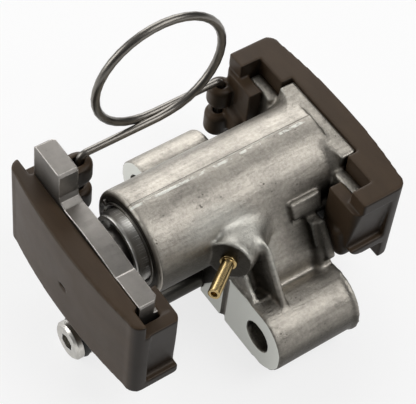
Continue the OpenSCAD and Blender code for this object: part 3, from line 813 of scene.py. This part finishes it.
class TENSIONER_OT_casting(bpy.types.Operator):
    """Shapes the casting's near side, rounds its corners, gives it its skin and adds the parting line"""
    bl_idname = "tensioner.casting"
    bl_label = "Casting"

    def execute(self, context):
        tones = context.scene.tensioner_casting
        skin = CastAluminium(tones).material
        casting = copy_node("housing", "housing_casting")
        for form in (SHELF_FILL, LOWER_FACET, GUSSET_RECESS, SMALL_PAD, RIB_END, *TONGUE_TOPS):
            shape(casting, form)
        soften(casting, tones.grid, 4)
        for region in (BOSS_ROOT, SHELF_EDGE):
            self.ease(casting, region)
        finish_piece(casting, "body", "cast", skin, "housing")
        self.parting_line(tones, skin)
        return {"FINISHED"}

    def ease(self, casting, region):
        """Smooths the region's corners, except the jet's face and the bore."""
        low, high = at(*region.low), at(*region.high)

        def inside(centre, normal):
            behind = (centre - JET_ROOT).dot(JET_WAY) < -BOSS_FACE_DEPTH
            outer = math.hypot(centre.y - AXIS_Y, centre.z - AXIS_Z) > BARREL_WALL
            return behind and outer and all(low[k] < centre[k] < high[k] for k in range(3))

        select_where(casting, inside)
        bpy.ops.mesh.vertices_smooth(factor=0.5, repeat=region.rounds)
        bpy.ops.object.mode_set(mode="OBJECT")

    def parting_line(self, tones, skin):
        """A long low strip on the barrel's crest with tapered ends."""
        bpy.ops.object.select_all(action="DESELECT")
        bpy.ops.mesh.primitive_cube_add(size=1, location=at(3.2, 0.9, 10.72))
        strip = named("parting_line")
        strip.scale = (36.0 * MM, tones.flash_width, 0.3 * MM)
        bpy.ops.object.transform_apply(location=True, rotation=True, scale=True)
        select_where(strip, lambda centre, normal: normal.z > 0.9)
        bpy.ops.mesh.inset(thickness=0.1 * MM)
        bpy.ops.transform.translate(value=(0, 0, tones.flash_height))
        bpy.ops.object.mode_set(mode="OBJECT")
        bevel(strip, 0.06 * MM, 2)
        bpy.ops.object.shade_smooth_by_angle(angle=math.radians(50))
        finish_piece(strip, "body", "cast", skin)


class TENSIONER_OT_shoes(bpy.types.Operator):
    """Fills the fixed shoe's feet, rounds both shoes' corners and gives them their moulded finish"""
    bl_idname = "tensioner.shoes"
    bl_label = "Shoes"

    def execute(self, context):
        tones = context.scene.tensioner_shoes
        plastic = moulded_plastic(tones)
        for node, body, feet in (("moving_shoe", "slider", ()), ("fixed_shoe", "body", HOOK_FEET)):
            moulding = copy_node(node, node + "_moulding")
            for foot in feet:
                shape(moulding, foot)
            soften(moulding, tones.grid, 4)
            finish_piece(moulding, body, "plastic", plastic, node)
        return {"FINISHED"}


class TENSIONER_OT_steel(bpy.types.Operator):
    """Trims the plunger's front and gives the shoe plate, the plunger and the valve their finishes"""
    bl_idname = "tensioner.steel"
    bl_label = "Plate, plunger and valve"

    def execute(self, context):
        tones = context.scene.tensioner_steel
        sintered = crisp_steel(
            "sintered_steel", tones.sintered, edge_radius=tones.edge_radius, rough_low=0.34, rough_span=0.16,
            grain_scale=2400.0, depth=0.03 * MM, pores=0.35)
        dress(sintered, "shoe_carrier")
        ground = crisp_steel(
            "ground_steel", tones.ground, edge_radius=0.15 * MM, rough_low=0.3, rough_span=0.14,
            grain_scale=3000.0, depth=0.004 * MM, turned_pitch=0.4 * MM, centre=(AXIS_Y, AXIS_Z))
        dress(ground, "valve_seat", "valve_ball", "valve_cage")
        piston = copy_node("plunger", "plunger_piston")
        work(piston, disc(at(-20.0, 0, 0), radius=9.0, depth=3.8), "DIFFERENCE")
        work(piston, disc(at(-18.0, 0, 0), radius=6.2, depth=2.4), "DIFFERENCE")
        bpy.ops.object.shade_smooth_by_angle(angle=math.radians(35))
        finish_piece(piston, "slider", "steel", ground, "plunger")
        dress(soft_black("fill_plastic", context.scene.tensioner_feed.fill, rough_low=0.4), "volume_insert")
        return {"FINISHED"}


class TENSIONER_OT_wire(bpy.types.Operator):
    """Smooths the transport clip and the springs, makes the mouth ring and gives them a drawn finish"""
    bl_idname = "tensioner.wire"
    bl_label = "Clip, springs and rings"

    def execute(self, context):
        tones = context.scene.tensioner_steel
        drawn = crisp_steel(
            "spring_wire", tones.wire, edge_radius=0.1 * MM, rough_low=0.24, rough_span=0.16,
            grain_scale=2600.0, depth=0.012 * MM, pores=0.2)
        self.clip(drawn)
        dress(drawn, "stem_ring")
        self.spring("plunger_spring", "plunger_slide", PLUNGER_TRAVEL, 1, drawn)
        self.spring("valve_spring", "ball_lift", BALL_LIFT, 0, drawn)
        self.mouth_ring(drawn)
        return {"FINISHED"}

    def clip(self, drawn):
        """The transport clip with thicker wire above its eyes and rounded ends."""
        clip = copy_node("transport_clip", "transport_clip_wire")
        for level in CLIP_LEVELS:
            select_where(clip, lambda centre, normal: centre.z > AXIS_Z + level * MM)
            bpy.ops.transform.shrink_fatten(value=CLIP_SWELL)
            bpy.ops.object.mode_set(mode="OBJECT")
        bevel(clip, 0.2 * MM, 2, 60)
        bpy.ops.object.shade_smooth_by_angle(angle=math.radians(42))
        finish_piece(clip, "clip", "wire", drawn, "transport_clip")

    def spring(self, node, joint, travel, fixed_end, drawn):
        """A smoothed copy of the spring's coil, set on the body; the joint, travel and fixed_end arguments
        are not used.
        """
        coil = copy_node(node, node + "_coil")
        bpy.ops.object.shade_smooth_by_angle(angle=math.radians(65))
        finish_piece(coil, "body", "steel", drawn, node)
        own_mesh(coil)

    def mouth_ring(self, drawn):
        """The open snap ring in the barrel's mouth, with its bent end."""
        bpy.ops.object.select_all(action="DESELECT")
        bpy.ops.mesh.primitive_torus_add(
            location=at(MOUTH_X, 0, 0), rotation=(0, math.pi / 2, 0), major_segments=144, minor_segments=16,
            major_radius=8.3 * MM, minor_radius=0.3 * MM)
        ring = named("mouth_ring")
        bpy.ops.object.transform_apply(location=True, rotation=True, scale=True)
        shape(ring, RING_GAP)
        shape(ring, RING_END)
        bpy.ops.object.shade_smooth_by_angle(angle=math.radians(40))
        finish_piece(ring, "body", "steel", drawn, "bore_ring")


class TENSIONER_OT_feed(bpy.types.Operator):
    """Makes the brass jet and gives the feed pipe, its inlet, the seal and the plugs their finishes"""
    bl_idname = "tensioner.feed"
    bl_label = "Oil feed and jet"

    def execute(self, context):
        tones = context.scene.tensioner_feed
        steel = context.scene.tensioner_steel
        middle = ((INLET_LOW.y + INLET_HIGH.y) / 2, (INLET_LOW.z + INLET_HIGH.z) / 2)
        plated = crisp_steel(
            "plated_steel", steel.plated, edge_radius=0.2 * MM, rough_low=0.22, rough_span=0.16,
            grain_scale=2800.0, depth=0.006 * MM, turned_pitch=0.2 * MM, centre=middle)
        dress(plated, "feed_nipple", "gallery_plug", "flange_plug", "feed_strainer")
        tube = crisp_steel(
            "drawn_tube", steel.drawn, edge_radius=0.2 * MM, rough_low=0.26, rough_span=0.16,
            grain_scale=2600.0, depth=0.008 * MM)
        dress(tube, "feed_pipe")
        brass = crisp_steel(
            "turned_brass", tones.brass, edge_radius=0.12 * MM, rough_low=0.2, rough_span=0.1,
            grain_scale=2600.0, depth=0.002 * MM)
        self.nozzle(brass)
        dress(soft_black("seal_rubber", tones.rubber, rough_low=0.42), "feed_o_ring")
        return {"FINISHED"}

    def nozzle(self, brass):
        """The jet: a tube with a drilled end that stands out of a pressed collar."""
        bpy.ops.object.select_all(action="DESELECT")
        bpy.ops.mesh.primitive_cylinder_add(vertices=48, radius=1.7 * MM, depth=1.2 * MM)
        nozzle = named("oil_jet_nozzle")

        def end(centre, normal):
            return normal.z > 0.99 and centre.xy.length < 0.05 * MM

        tube, drilling = (0.45 * MM, 8.4 * MM), (0.62 * MM, -1.2 * MM)
        for inward, rise in (tube, drilling):
            select_where(nozzle, end)
            bpy.ops.mesh.inset(thickness=inward)
            bpy.ops.mesh.extrude_region_move(TRANSFORM_OT_translate={"value": (0, 0, rise)})
            bpy.ops.object.mode_set(mode="OBJECT")
        bevel(nozzle, 0.12 * MM, 3)
        nozzle.rotation_euler = JET_WAY.to_track_quat("Z", "Y").to_euler()
        nozzle.location = JET_ROOT
        bpy.ops.object.transform_apply(location=True, rotation=True, scale=True)
        bpy.ops.object.shade_smooth_by_angle(angle=math.radians(35))
        finish_piece(nozzle, "body", "brass", brass, "oil_jet")


class TENSIONER_OT_stage(bpy.types.Operator):
    """Sets the floor, the soft lamps, the world and the camera"""
    bl_idname = "tensioner.stage"
    bl_label = "Stage"

    def execute(self, context):
        sizes = context.scene.tensioner_stage
        self.floor(sizes)
        self.world(context.scene)
        for name, (place, size) in LAMPS.items():
            self.lamp(name, place, size, getattr(sizes, name))
        self.camera(context.scene, sizes)
        context.scene.view_settings.view_transform = "Standard"
        return {"FINISHED"}

    def floor(self, sizes):
        """A wide pale floor that glows for the camera and, more faintly, in reflections."""
        bpy.ops.object.select_all(action="DESELECT")
        bpy.ops.mesh.primitive_plane_add(size=4, location=(0, 0, CAD_LOW.z - 0.02 * MM))
        floor = bpy.context.object
        floor.name = "floor"
        paint = Finish("floor_paint")
        paint.set(Base_Color=sizes.floor, Roughness=0.9, Specular_IOR_Level=0.1)
        glow = paint.add("Emission")
        glow.inputs["Color"].default_value = sizes.floor
        path = paint.add("LightPath")
        seen = paint.maths("MAXIMUM", path.outputs["Is Camera Ray"], path.outputs["Is Transmission Ray"])
        mirrored = paint.maths("MULTIPLY", path.outputs["Is Glossy Ray"], MIRRORED_GLOW)
        share = paint.maths("MULTIPLY_ADD", seen, FLOOR_GLOW, mirrored)
        both = paint.add("MixShader")
        paint.join(share, both.inputs[0])
        paint.join(paint.skin.outputs[0], both.inputs[1])
        paint.join(glow.outputs[0], both.inputs[2])
        paint.join(both.outputs[0], paint.tree.nodes["Material Output"].inputs["Surface"])
        floor.data.materials.append(paint.material)

    def world(self, scene):
        """A grey studio, brighter above and behind the part."""
        scene.world = bpy.data.worlds.new("studio")
        scene.world.use_nodes = True
        sky = Sheet(scene.world.node_tree)
        back = sky.tree.nodes["Background"]
        toward = sky.along(sky.add("TexCoord").outputs["Generated"], (-0.3, 0.6, 0.7))
        sky.join(sky.ramp(toward, [(0.0, 0.1), (0.95, 0.5)]), back.inputs["Color"])
        back.inputs["Strength"].default_value = 0.6

    def lamp(self, name, place, size, watts):
        """A soft square lamp that faces the part."""
        data = bpy.data.lights.new(name, "AREA")
        data.size = size
        data.energy = watts
        lamp = bpy.data.objects.new(name, data)
        lamp.location = place
        lamp.rotation_euler = (-place).to_track_quat("-Z", "Y").to_euler()
        bpy.context.scene.collection.objects.link(lamp)

    def camera(self, scene, sizes):
        """The camera in the place and with the turn of the photograph."""
        data = bpy.data.cameras.new("camera")
        data.sensor_width = 36
        data.lens = sizes.lens
        data.clip_start = 0.01
        camera = bpy.data.objects.new("camera", data)
        turn = Matrix((CAMERA_RIGHT, CAMERA_UP, CAMERA_RIGHT.cross(CAMERA_UP))).transposed()
        camera.matrix_world = Matrix.Translation(Vector(sizes.eye)) @ turn.to_4x4()
        scene.collection.objects.link(camera)
        scene.camera = camera


class TENSIONER_PT_panel(bpy.types.Panel):
    """The steps that finish the tensioner, in order"""
    bl_idname = "TENSIONER_PT_panel"
    bl_label = "Tensioner"
    bl_space_type = "VIEW_3D"
    bl_region_type = "UI"
    bl_category = "Tensioner"

    def draw(self, context):
        for step in STEPS:
            self.layout.operator(step.bl_idname)


SETTINGS = {
    "tensioner_casting": TensionerCasting,
    "tensioner_shoes": TensionerShoes,
    "tensioner_steel": TensionerSteel,
    "tensioner_feed": TensionerFeed,
    "tensioner_stage": TensionerStage,
}
STEPS = (TENSIONER_OT_casting, TENSIONER_OT_shoes, TENSIONER_OT_steel, TENSIONER_OT_wire,
         TENSIONER_OT_feed, TENSIONER_OT_stage)
CLASSES = (*SETTINGS.values(), *STEPS, TENSIONER_PT_panel)


def register():
    """Registers the add-on and its settings."""
    for item in CLASSES:
        bpy.utils.register_class(item)
    for name, kind in SETTINGS.items():
        setattr(bpy.types.Scene, name, bpy.props.PointerProperty(type=kind))


def unregister():
    """Removes the add-on and its settings."""
    for name in SETTINGS:
        delattr(bpy.types.Scene, name)
    for item in reversed(CLASSES):
        bpy.utils.unregister_class(item)


def main():
    """Runs every step in order."""
    register()
    bpy.ops.tensioner.casting()
    bpy.ops.tensioner.shoes()
    bpy.ops.tensioner.steel()
    bpy.ops.tensioner.wire()
    bpy.ops.tensioner.feed()
    bpy.ops.tensioner.stage()


if __name__ == "__main__":
    main()
